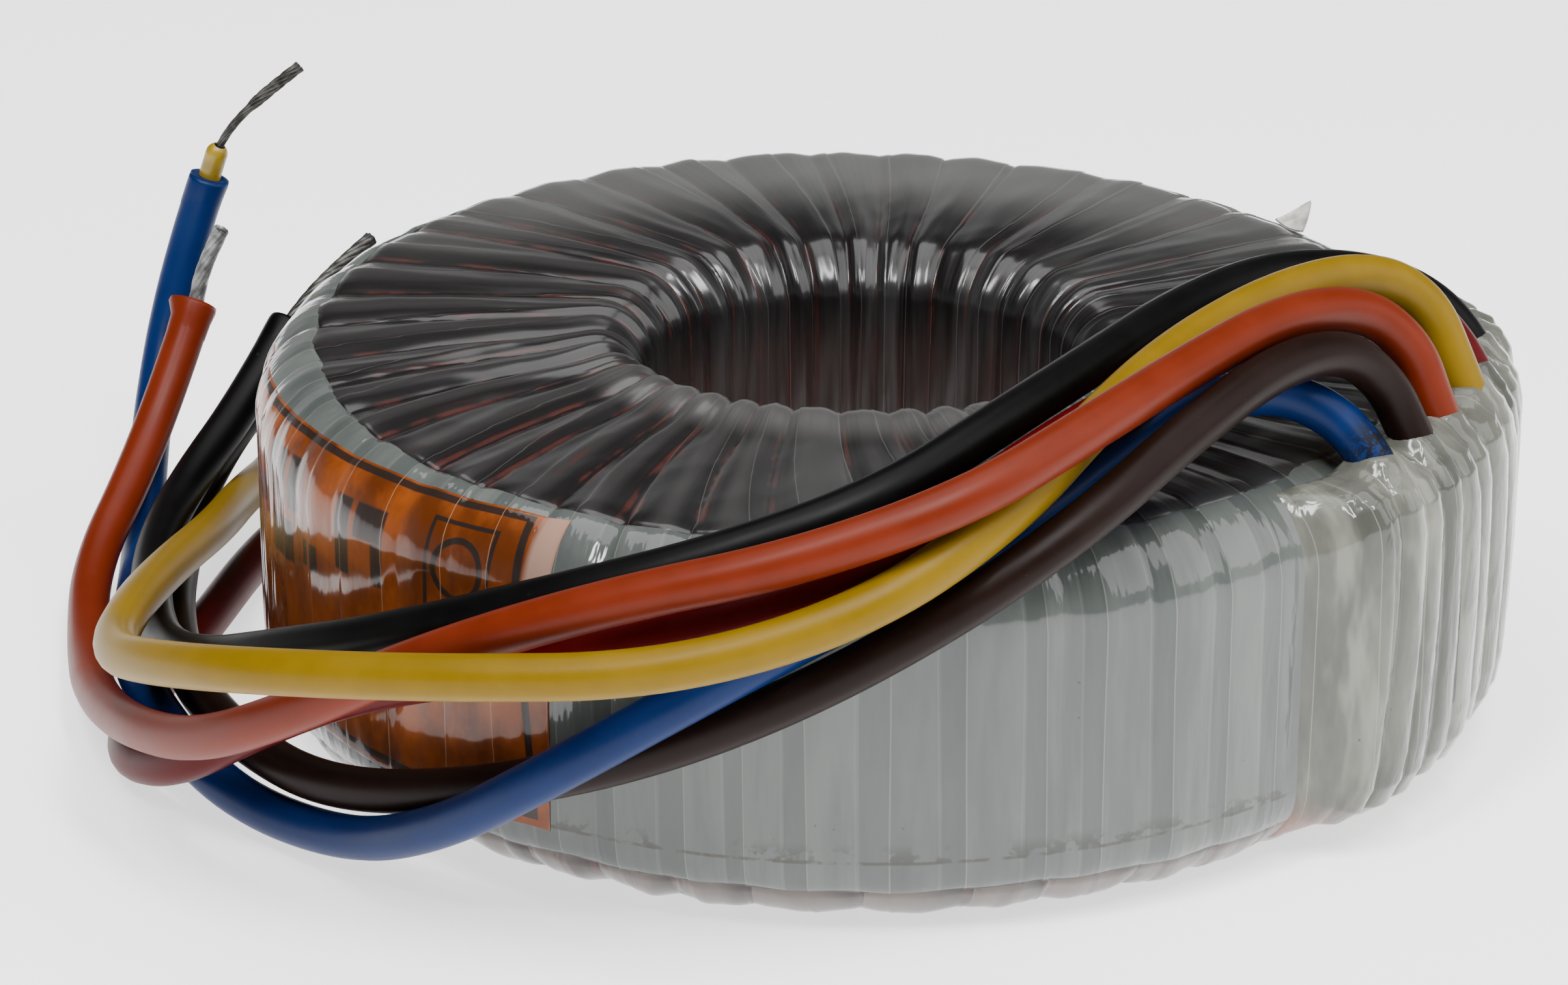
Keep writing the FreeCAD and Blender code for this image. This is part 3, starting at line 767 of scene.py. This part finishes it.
# plain bars in place of the print: from and to across the label, then from and to down it, in mm
PRINT_BLOCKS = [
    (24.6, 26.2, 2.4, 6.2), (26.8, 28.0, 2.4, 6.2), (28.6, 30.4, 2.4, 6.2), (25.4, 29.8, 7.0, 9.8),
    (21.4, 22.6, 7.4, 9.2), (22.9, 23.6, 7.4, 9.2),
    (13.6, 16.6, 2.9, 5.2), (13.6, 14.8, 5.2, 8.0), (17.2, 19.0, 2.9, 8.0),
    (11.6, 15.5, 13.9, 14.6), (16.1, 17.1, 13.9, 14.6), (17.8, 21.6, 13.9, 14.6),
    (11.6, 13.0, 11.9, 12.6), (31.6, 33.4, 5.6, 7.4), (35.0, 38.5, 9.0, 9.7),
]
PAST_LABEL = 60
RING_MARK_SPOT = (7.0, 5.1, 0)
RING_MARK_R = 1.9
PAPER_DARK, PAPER_LIGHT = (0.085, 0.019, 0.0028), (0.225, 0.052, 0.0070)
PAPER_PAINTED_SHEEN = (0.34, 0.22, 0.17)
LABEL_FILM_EDGE = (0.42, 0.24, 0.14)
INK = (0.012, 0.011, 0.010)


def label_material():
    """Orange-brown paper under the film, with a border and plain bars in place of its print."""
    s = Shader(
        "film_over_label", Coat_Weight=0.9, Coat_Roughness=0.09, Coat_IOR=1.38, Roughness=0.5,
        Specular_IOR_Level=0.05)
    film, run = s.uv("films")
    u, v = s.uv("label")
    line, inside = film_lines(s, film)
    cloud = s.noise(s.place((0.3, 0.3, 0.2)), 0.7, 4, 0.6)
    body = s.two_tone(cloud, 0.35, 0.65, PAPER_DARK, PAPER_LIGHT)
    skewed = s.calc("MULTIPLY_ADD", v, 0.08, u)
    above = s.calc("SUBTRACT", station_at_height_low(LABEL_LOW_Z), run)
    outer = s.times(patch(s, skewed, v, 2.5, PAST_LABEL, 0.45, PAST_LABEL, 0.05), s.ramp(above, 0.75, 0.85))
    inner = s.times(patch(s, skewed, v, 3.05, PAST_LABEL, 0.98, PAST_LABEL, 0.05), s.ramp(above, 1.20, 1.30))
    ink = s.calc("SUBTRACT", outer, inner)
    for block in PRINT_BLOCKS:
        ink = s.calc("MAXIMUM", ink, patch(s, u, v, *block))
    square = s.calc(
        "SUBTRACT", patch(s, u, v, 4.3, 9.7, 2.0, 8.2, 0.05), patch(s, u, v, 4.6, 9.4, 2.3, 7.9, 0.05))
    off_ring = s.calc("SUBTRACT", s.distance(s.join(u, v), RING_MARK_SPOT), RING_MARK_R)
    circle = s.ramp(s.calc("ABSOLUTE", off_ring), 0.28, 0.16)
    ink = s.calc("MAXIMUM", ink, s.calc("MAXIMUM", square, circle))
    body = s.lay(body, ink, INK, 0.93)
    # painted sheen: a pale iridescent strip at the top of the label's end
    body = s.lay(body, s.times(s.ramp(u, 2.2, 1.6), s.ramp(v, 6.5, 4.5)), PAPER_PAINTED_SHEEN, 0.8)
    body = s.lay(body, line, LABEL_FILM_EDGE, 0.45)
    wrinkle = s.turn_noise(film, v, 1.4, 0.07, 1.6, rough=0.5)
    skin = s.bump(s.calc("MULTIPLY_ADD", inside, 0.35, wrinkle), 0.14, 0.6)
    return s.set(Base_Color=body, Normal=skin, Coat_Normal=skin)


finish_piece(wrap_piece(), winding_material(), "clear_film", "outer_film_wrap", "secondary_winding_b")
finish_piece(band_piece(), band_material(), "white_tape", "rim_band")
finish_piece(label_piece(), label_material(), "label", "rating_label")

# ---------------------------------------------------------------- lead-out bulge
BULGE_DEG = (-47.5, 27)
BULGE_FULL_DEG = (-40.2, 5)
BULGE_FROM, BULGE_TO = (math.radians(d) for d in BULGE_DEG)
BULGE_COLUMNS, BULGE_ROWS = 520, 150
RIM_R = 40
COVER_THICK = 0.25
BULGE_R = 43.62
BULGE_OUTLINE = [
    (37.0, 24.65), (38.3, 25.05), (39.8, 25.25), (41.4, 25.2), (42.6, 24.6), (43.3, 23.4), (43.58, 21.6),
    (BULGE_R, 18), (BULGE_R, 12), (43.5, 7.0), (43.2, 5.0), (42.3, 3.2), (40.6, 1.9), (38.6, 1.45),
    (37.2, 1.5),
]


def smooth_step(value, low, high):
    t = np.clip((value - low) / (high - low), 0, 1)
    return t * t * (3 - 2 * t)


def outline_points(steps):
    """The bulge's section resampled evenly, as radius and height."""
    corners = np.array(BULGE_OUTLINE)
    travel = np.concatenate([[0], np.cumsum(np.hypot(*np.diff(corners, axis=0).T))])
    even = np.linspace(0, travel[-1], steps)
    return np.interp(even, travel, corners[:, 0]), np.interp(even, travel, corners[:, 1])


def exit_points():
    """Where each lead passes the top of the bulge, in mm."""
    places = []
    for points in ROUTES.values():
        path = np.array(points) / MM
        z = path[:, 2]
        k = int(np.argmax(z > HEIGHT))
        share = (HEIGHT - z[k - 1]) / (z[k] - z[k - 1])
        places.append((path[k - 1] + share * (path[k] - path[k - 1]))[:2])
    return np.array(places)


def folds(degrees, run):
    """Vertical creases pulled in the film, 0 on a crest."""
    lean = degrees + 0.9 * np.sin(run / 7) + 0.5 * np.sin(run / 3.1 + 1)
    wide = np.abs(np.sin(lean * 0.31 + 0.5 * np.sin(lean * 0.17))) ** 0.55
    narrow = np.abs(np.sin(lean * 0.83 + 1.1 + 0.7 * np.sin(run / 9 + lean * 0.2))) ** 0.6
    buckle = 0.5 + 0.5 * np.sin(run * 0.9 + 2.5 * np.sin(lean * 0.4)) * np.sin(lean * 0.6 + 0.4)
    return 0.56 * (1 - wide) + 0.48 * (1 - narrow) + 0.26 * (1 - buckle) * smooth_step(-run, -9, -3)


def bulge_piece():
    """The film over the bulge, creased, drawn in at its rim and puckered round each lead."""
    theta = np.linspace(BULGE_FROM, BULGE_TO, BULGE_COLUMNS)[:, None]
    s = np.linspace(BAND_START + 0.5, STATIONS[5] + 4.9, BULGE_ROWS)[None]
    theta, s = np.broadcast_arrays(theta, s)
    ring_r, ring_z, normal_r, normal_z = section(s)
    out_r, out_z = outline_points(BULGE_ROWS)
    degrees = np.degrees(theta)
    full = smooth_step(degrees, BULGE_DEG[0], BULGE_FULL_DEG[0])
    full = full * smooth_step(-degrees, -BULGE_DEG[1], -BULGE_FULL_DEG[1])
    run = s - s[0, 0]
    crease = folds(degrees, run) * (0.35 + 0.65 * full) * np.clip(run / 2, 0.2, 1)
    seated = 0.04 - 0.35 * rib_depth(theta, s)
    r = ring_r * (1 - full) + out_r[None] * full + normal_r * (seated * (1 - full) - crease * full)
    z = ring_z * (1 - full) + out_z[None] * full + normal_z * (seated * (1 - full) - crease * full)
    x, y = r * np.cos(theta), r * np.sin(theta)
    for spot in exit_points():
        away = np.hypot(x - spot[0], y - spot[1])
        z = z + 1.0 * np.exp(-((away - 1.1) / 0.95) ** 2) * (z > 22)
    sides = [(theta - BULGE_FROM) * RIM_R, (BULGE_TO - theta) * RIM_R]
    rim = np.minimum.reduce([*sides, run, run[0, -1] - run])
    sink = 0.45 * np.exp(-rim / 0.4)
    top = np.stack([x, y, z], -1)
    inward = np.stack([normal_r * np.cos(theta), normal_r * np.sin(theta), normal_z], -1)
    over = top - inward * sink[..., None]
    both = np.concatenate([over, (over - inward * COVER_THICK)[:, ::-1]], 1)
    theta2 = np.concatenate([theta, theta], 1)
    s2 = np.concatenate([s, s[:, ::-1]], 1)
    rows, count = theta2.shape
    ends = [list(range(count))[::-1], [(rows - 1) * count + k for k in range(count)]]
    faces = grid_faces(rows, count, False, True)
    return strip_with_ends("leadout_cover", both, faces, ends, theta2, s2)


CREASE_DARK, CREASE_LIGHT = (0.062, 0.064, 0.054), (0.120, 0.122, 0.102)
CREASE_SHADE = (0.034, 0.035, 0.029)
CREASE_STREAK = (0.24, 0.24, 0.205)
CREASE_EDGE = (0.30, 0.295, 0.24)
COVER_SPECK = (0.05, 0.03, 0.018)
COPPER_GLOW = (0.20, 0.055, 0.035)


def bulge_material():
    """Crumpled film, whitish with a yellow cast, over the pad, with copper glowing through low down."""
    s = Shader(
        "crumpled_film", Coat_Weight=1.0, Coat_Roughness=0.12, Coat_IOR=1.42, Roughness=0.42,
        Specular_IOR_Level=0.1)
    film, run = s.uv("films")
    line, inside = film_lines(s, s.times(film, 1.35))
    cloud = s.noise(s.place((0.35, 0.35, 0.14)), 0.55, 4, 0.55)
    body = s.two_tone(cloud, 0.34, 0.66, CREASE_DARK, CREASE_LIGHT)
    shade = s.turn_noise(film, run, 0.9, 0.05, 1.1, 2, 0.5, layer=7.0)
    body = s.lay(body, s.ramp(shade, 0.50, 0.70), CREASE_SHADE, 0.55)
    body = s.lay(body, s.ramp(s.turn_noise(film, run, 1.2, 0.06, 1.5), 0.50, 0.68), CREASE_STREAK, 0.6)
    body = s.lay(body, line, CREASE_EDGE, 0.4)
    body = s.lay(body, s.ramp(s.noise(s.place(), 1.5, 2, 0.5), 0.745, 0.785), COVER_SPECK, 0.7)
    low = s.times(s.ramp(run, STATIONS[5] - 0.5, STATIONS[5] + 3.5), s.ramp(cloud, 0.35, 0.6))
    body = s.lay(body, low, COPPER_GLOW, 0.7)
    wrinkle = s.noise(s.place((0.8, 0.8, 0.3)), 0.6, 3, 0.5, 0.5)
    skin = s.bump(s.calc("MULTIPLY_ADD", inside, 0.25, wrinkle), 0.32, 0.7)
    return s.set(Base_Color=body, Normal=skin, Coat_Normal=skin)


cover = finish_piece(bulge_piece(), bulge_material(), "cover_film", "leadout_cover_film", "leadout_pad")


# ---------------------------------------------------------------- stripped ends
def tube_mesh(path, radius, sides):
    """Points and quads of a round tube along a path, with closed ends."""
    path = np.asarray(path, float)
    tangents = np.gradient(path, axis=0)
    tangents /= np.linalg.norm(tangents, axis=1)[:, None]
    side = np.cross(tangents[0], [0, 0, 1.0])
    if np.linalg.norm(side) < 0.1:
        side = np.array([1.0, 0, 0])
    rings = []
    for here, way in zip(path, tangents):
        side = side - way * (side @ way)
        side /= np.linalg.norm(side)
        other = np.cross(way, side)
        angle = np.arange(sides) * math.tau / sides
        rings.append(here + radius * (np.cos(angle)[:, None] * side + np.sin(angle)[:, None] * other))
    points = np.concatenate(rings + [path[:1], path[-1:]])
    faces = grid_faces(len(path), sides, False, True).tolist()
    first, last = len(path) * sides, len(path) * sides + 1
    for k in range(sides):
        faces.append([first, (k + 1) % sides, k])
        row = (len(path) - 1) * sides
        faces.append([last, row + k, row + (k + 1) % sides])
    return points, faces


def smooth_path(points, count):
    """Quadratic spline that starts and ends at the first and last of the points."""
    points = np.asarray(points, float)
    joints = [points[0]] + [(a + b) / 2 for a, b in zip(points[1:], points[2:-1])] + [points[-1]]
    pieces = []
    for a, control, b in zip(joints, points[1:-1], joints[1:]):
        t = np.linspace(0, 1, count)[:, None]
        pieces.append((1 - t) ** 2 * a + 2 * t * (1 - t) * control + t**2 * b)
    return np.concatenate([pieces[0]] + [p[1:] for p in pieces[1:]])


SOLDERED = ("orange", "yellow")
STRANDS = 7
STRAND_LAY = 7.0
STRAND_SIDES = 8


def lead_end(colour):
    """Where a lead's insulation ends, in mm, and the direction it ends in."""
    end = np.array(ROUTES[colour][-1]) / MM
    before = np.array(ROUTES[colour][-2]) / MM
    return end, (end - before) / np.linalg.norm(end - before)


def strand_tip(colour):
    """Tinned conductor of seven strands laid in a slow twist, pressed flat at blue's end."""
    diameter, points = TIPS[colour]
    end, way = lead_end(colour)
    path = smooth_path([end - way * 1.0, end + way * 0.2] + points, 14)
    tangents = np.gradient(path, axis=0)
    tangents /= np.linalg.norm(tangents, axis=1)[:, None]
    side = np.cross(tangents, [0, 1.0, 0])
    side /= np.linalg.norm(side, axis=1)[:, None]
    other = np.cross(tangents, side)
    travel = np.concatenate([[0], np.cumsum(np.linalg.norm(np.diff(path, axis=0), axis=1))])
    strand_share, reach_share = (0.33, 0.17) if colour in SOLDERED else (0.25, 0.25)
    press = smooth_step(travel, travel[-1] - 5.5, travel[-1] - 4.2) * (colour == "blue")
    verts, faces = [], []
    for k in range(STRANDS):
        turn = k * math.tau / (STRANDS - 1) + travel * math.tau / STRAND_LAY
        reach = 0 if k == STRANDS - 1 else diameter * reach_share
        wide = np.cos(turn) * reach * (1 + 0.9 * press)
        deep = np.sin(turn) * reach * (1 - 0.75 * press)
        offset = side * wide[:, None] + other * deep[:, None]
        strand, strand_faces = tube_mesh(path + offset, diameter * strand_share, STRAND_SIDES)
        base = len(strand) * k
        verts.append(strand)
        faces.extend([[i + base for i in f] for f in strand_faces])
    return mesh_piece(f"tinned_tip_{colour}", np.concatenate(verts), faces)


def insulation_end(colour):
    """Cut end of the insulation: a short hollow rim, a little flared."""
    end, way = lead_end(colour)
    flare = 0.12 if colour == "orange" else 0.04
    outline = [(-2.4, 1.41), (-1.2, 1.42 + flare * 0.3), (-0.3, 1.42 + flare), (0.0, 1.38 + flare)]
    outline += [(0.02, 1.2), (-0.02, 0.9), (-0.3, 0.72)]
    helper = np.array([0, 0, 1.0]) if abs(way[2]) < 0.9 else np.array([1.0, 0, 0])
    side = np.cross(way, helper)
    side /= np.linalg.norm(side)
    other = np.cross(way, side)
    sides = 40
    angle = np.arange(sides) * math.tau / sides
    torn_by = 0.26 if colour == "orange" else 0.0
    torn = np.maximum(0, np.cos(angle - math.atan2(-other[0], -side[0]))) ** 4 * torn_by
    rows = []
    for along, radius in outline:
        uneven = 1 + (0.02 * np.sin(3 * angle + along) + torn) * (along > -1)
        tilt = 0.08 * np.cos(angle + 1) * (along > -1)
        ring = np.cos(angle)[:, None] * side + np.sin(angle)[:, None] * other
        rows.append(end + way * (along + tilt)[:, None] + ring * (radius * uneven)[:, None])
    faces = grid_faces(len(outline), sides, False, True)
    return mesh_piece(f"insulation_end_{colour}", np.concatenate(rows), faces)


TIN_GRAIN = (0.05, 0.6)
TIN_LOOK = {"scale": 1.2, "roughness": 0.45, "metallic": 0.6, "grain": TIN_GRAIN}
# the tin on the unsoldered tips is a darker copy of it, painted shade
TIN_PAINTED_SHADE = mottled("tinned_copper", (0.022, 0.021, 0.019), (0.095, 0.093, 0.086), **TIN_LOOK)
BRIGHT_TIN = mottled("soldered_copper", (0.11, 0.113, 0.112), (0.30, 0.31, 0.305), **TIN_LOOK)
HIDDEN_ON_LEAD = ("splice_sleeve", "solder_joint", "winding_tail")

for colour, lead in leads.items():
    pvc = lead_material(colour)
    finish_piece(lead, pvc, f"pvc_{colour}", f"lead_{colour}")
    rim = finish_piece(insulation_end(colour), pvc, f"pvc_{colour}")
    # unsoldered tips get the darker tin, painted shade
    tin = BRIGHT_TIN if colour in SOLDERED else TIN_PAINTED_SHADE
    tip = finish_piece(strand_tip(colour), tin, "tinned_copper", f"tip_{colour}")
    with_pieces = [rim, tip, cover] + [frame["nodes"][f"{part}_{colour}"] for part in HIDDEN_ON_LEAD]
    if colour == "blue":
        with_pieces.append(frame["nodes"]["inner_sleeve_blue"])


# ---------------------------------------------------------------- loose tail of the outer film
TAIL_ROWS, TAIL_COLUMNS = 16, 9
TAIL_THICK = 0.12


def tail_piece():
    """Small torn point of film, thin and slightly curled, standing off the rim."""
    low_box, high_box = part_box("film_tail")
    root = Vector(((low_box.x + high_box.x) / 2, (low_box.y + high_box.y) / 2, 0)) / MM
    out = root.normalized()
    side = Vector((-out.y, out.x, 0))
    start = out * (root.length - 1.3)
    rows, columns = TAIL_ROWS, TAIL_COLUMNS
    points = []
    for level in (0.0, -TAIL_THICK):
        for i in range(rows):
            along = i / (rows - 1)
            half = 1.5 * (1 - along) ** 0.8 + 0.03
            for j in range(columns):
                across = 2 * j / (columns - 1) - 1
                lift = 1.5 * along**1.3 + 0.25 * across**2 * (1 - along)
                spot = start + out * (2.2 * along) + side * (half * across + 0.4 * along)
                points.append((spot.x, spot.y, HEIGHT - 0.35 + lift + level))
    count = rows * columns
    top = grid_faces(rows, columns)
    faces = [f[::-1] for f in top.tolist()] + (top + count).tolist()
    edge = list(range(columns)) + [i * columns + columns - 1 for i in range(1, rows)]
    edge += [(rows - 1) * columns + j for j in range(columns - 2, -1, -1)]
    edge += [i * columns for i in range(rows - 2, 0, -1)]
    for a, b in zip(edge, edge[1:] + edge[:1]):
        faces.append([a, b, b + count, a + count])
    return mesh_piece("loose_film_tail", points, faces)


torn_film = mottled(
    "torn_film", (0.34, 0.33, 0.30), (0.62, 0.61, 0.57), 1.1, 0.2, grain=(0.15, 0.6), detail=3)
finish_piece(tail_piece(), torn_film, "clear_film", "film_tail")

# ---------------------------------------------------------------- carried-over nodes
# by slot: dark and light tones, scale of the mottling, roughness, metallic
SLOT_LOOKS = {
    "clear_film": ((0.10, 0.08, 0.07), (0.22, 0.20, 0.18), 0.5, 0.15, 0.0),
    "enamelled_copper": ((0.10, 0.02, 0.012), (0.24, 0.06, 0.03), 0.8, 0.3, 0.4),
    "core_steel": ((0.12, 0.12, 0.13), (0.25, 0.25, 0.27), 0.6, 0.35, 0.9),
    "splice_sleeve": ((0.01, 0.01, 0.01), (0.03, 0.03, 0.03), 1.0, 0.5, 0.0),
    "tinned_copper": ((0.2, 0.2, 0.2), (0.5, 0.5, 0.48), 1.0, 0.4, 0.9),
    "pale_sleeve": ((0.20, 0.125, 0.002), (0.30, 0.20, 0.006), 1.0, 0.35, 0.0),
}


def dress_nodes():
    """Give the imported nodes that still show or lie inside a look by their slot."""
    looks = {slot: mottled(f"inner_{slot}", *values) for slot, values in SLOT_LOOKS.items()}
    slots = {row["node"]: row["material_slot"] for row in frame["record"]["subparts"]}
    for node, piece in frame["nodes"].items():
        look = looks.get(slots[node])
        if look is not None:
            piece.data.materials.clear()
            piece.data.materials.append(look)


dress_nodes()


# ---------------------------------------------------------------- floor, light
FLOOR_HALF = 1.5
FLOOR_GLOW = 1.5


def make_floor():
    """White floor that also gives off light, as a light table does."""
    mesh = bpy.data.meshes.new("floor")
    corners = [(-1, -1), (1, -1), (1, 1), (-1, 1)]
    mesh.from_pydata([(x * FLOOR_HALF, y * FLOOR_HALF, 0) for x, y in corners], [], [(0, 1, 2, 3)])
    floor = link_object("floor", mesh)
    s = Shader("pale_floor", Roughness=0.7, Specular_IOR_Level=0.1, Emission_Strength=FLOOR_GLOW)
    cloud = s.noise(s.place((0.01, 0.01, 0.01)), 1.0, 2, 0.5)
    body = s.blend(cloud, colour4(0.86, 0.86, 0.86), colour4(0.90, 0.90, 0.90))
    mesh.materials.append(s.set(Base_Color=body, Emission_Color=body))


def area_light(name, place, aim, size, power):
    data = bpy.data.lights.new(name, "AREA")
    data.shape = "RECTANGLE"
    data.size, data.size_y = size
    data.energy = power
    light = link_object(name, data)
    light.location = place
    light.rotation_mode = "QUATERNION"
    light.rotation_quaternion = (Vector(aim) - Vector(place)).to_track_quat("-Z", "Y")


def make_world():
    """Dim studio: a paler low horizon all round and a dark ceiling between the lamps."""
    world = bpy.data.worlds.new("studio")
    bpy.context.scene.world = world
    world.use_nodes = True
    tree = world.node_tree
    way = tree.nodes.new("ShaderNodeTexCoord")
    split = tree.nodes.new("ShaderNodeSeparateXYZ")
    fade = tree.nodes.new("ShaderNodeMapRange")
    fade.interpolation_type = "SMOOTHSTEP"
    for key, value in (("From Min", 0.15), ("From Max", 0.52), ("To Min", 0.34), ("To Max", 0.03)):
        fade.inputs[key].default_value = value
    tree.links.new(way.outputs["Generated"], split.inputs[0])
    tree.links.new(split.outputs[2], fade.inputs["Value"])
    tree.links.new(fade.outputs[0], tree.nodes["Background"].inputs[1])
    tree.nodes["Background"].inputs[0].default_value = (1, 1, 1, 1)


make_floor()
make_world()
area_light("top_softbox", (0.0, 0.15, 0.9), (0, 0, 0), (0.8, 0.6), 5)
area_light("right_softbox", (0.52, -0.13, 0.42), (0, 0, 0.01), (0.55, 0.65), 3.5)
area_light("window_left", (-0.14, -0.24, 0.5), (0, 0, 0.01), (0.07, 0.24), 2.3)
area_light("window_right", (0.10, -0.24, 0.48), (0, 0, 0.01), (0.07, 0.24), 2.3)
